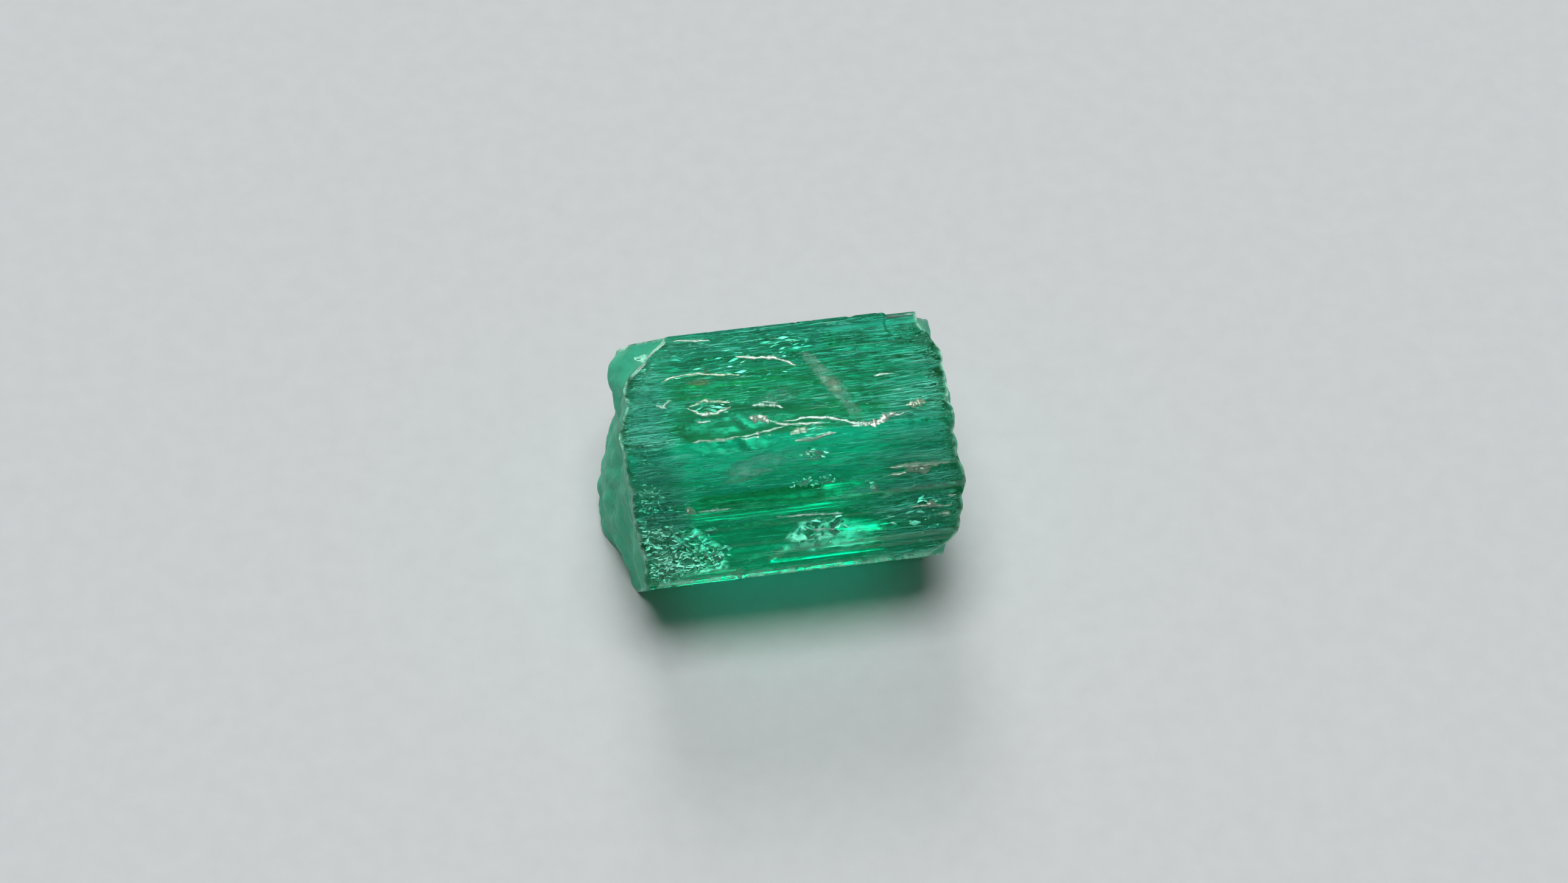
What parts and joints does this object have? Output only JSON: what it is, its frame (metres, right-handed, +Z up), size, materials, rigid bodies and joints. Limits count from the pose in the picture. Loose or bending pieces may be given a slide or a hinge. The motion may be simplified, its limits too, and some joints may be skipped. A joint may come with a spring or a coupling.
{
  "type": "emerald crystal",
  "caption": "Rough transparent green beryl crystal: a lengthwise striated six-sided prism with uneven broken ends, lying on a prism face.",
  "frame": {"origin": "middle of the crystal's bounding box, on the surface that the crystal rests on", "axes": "+X along the crystal's length, -Y towards the side that the picture shows, +Z up"},
  "size_m": [0.0166, 0.0128, 0.0107],
  "materials": {
    "beryl": "vitreous, clear to slightly included green beryl with fine lengthwise striations"
  },
  "bodies": {
    "root": {"emerald_crystal": "beryl"}
  },
  "joints": []
}
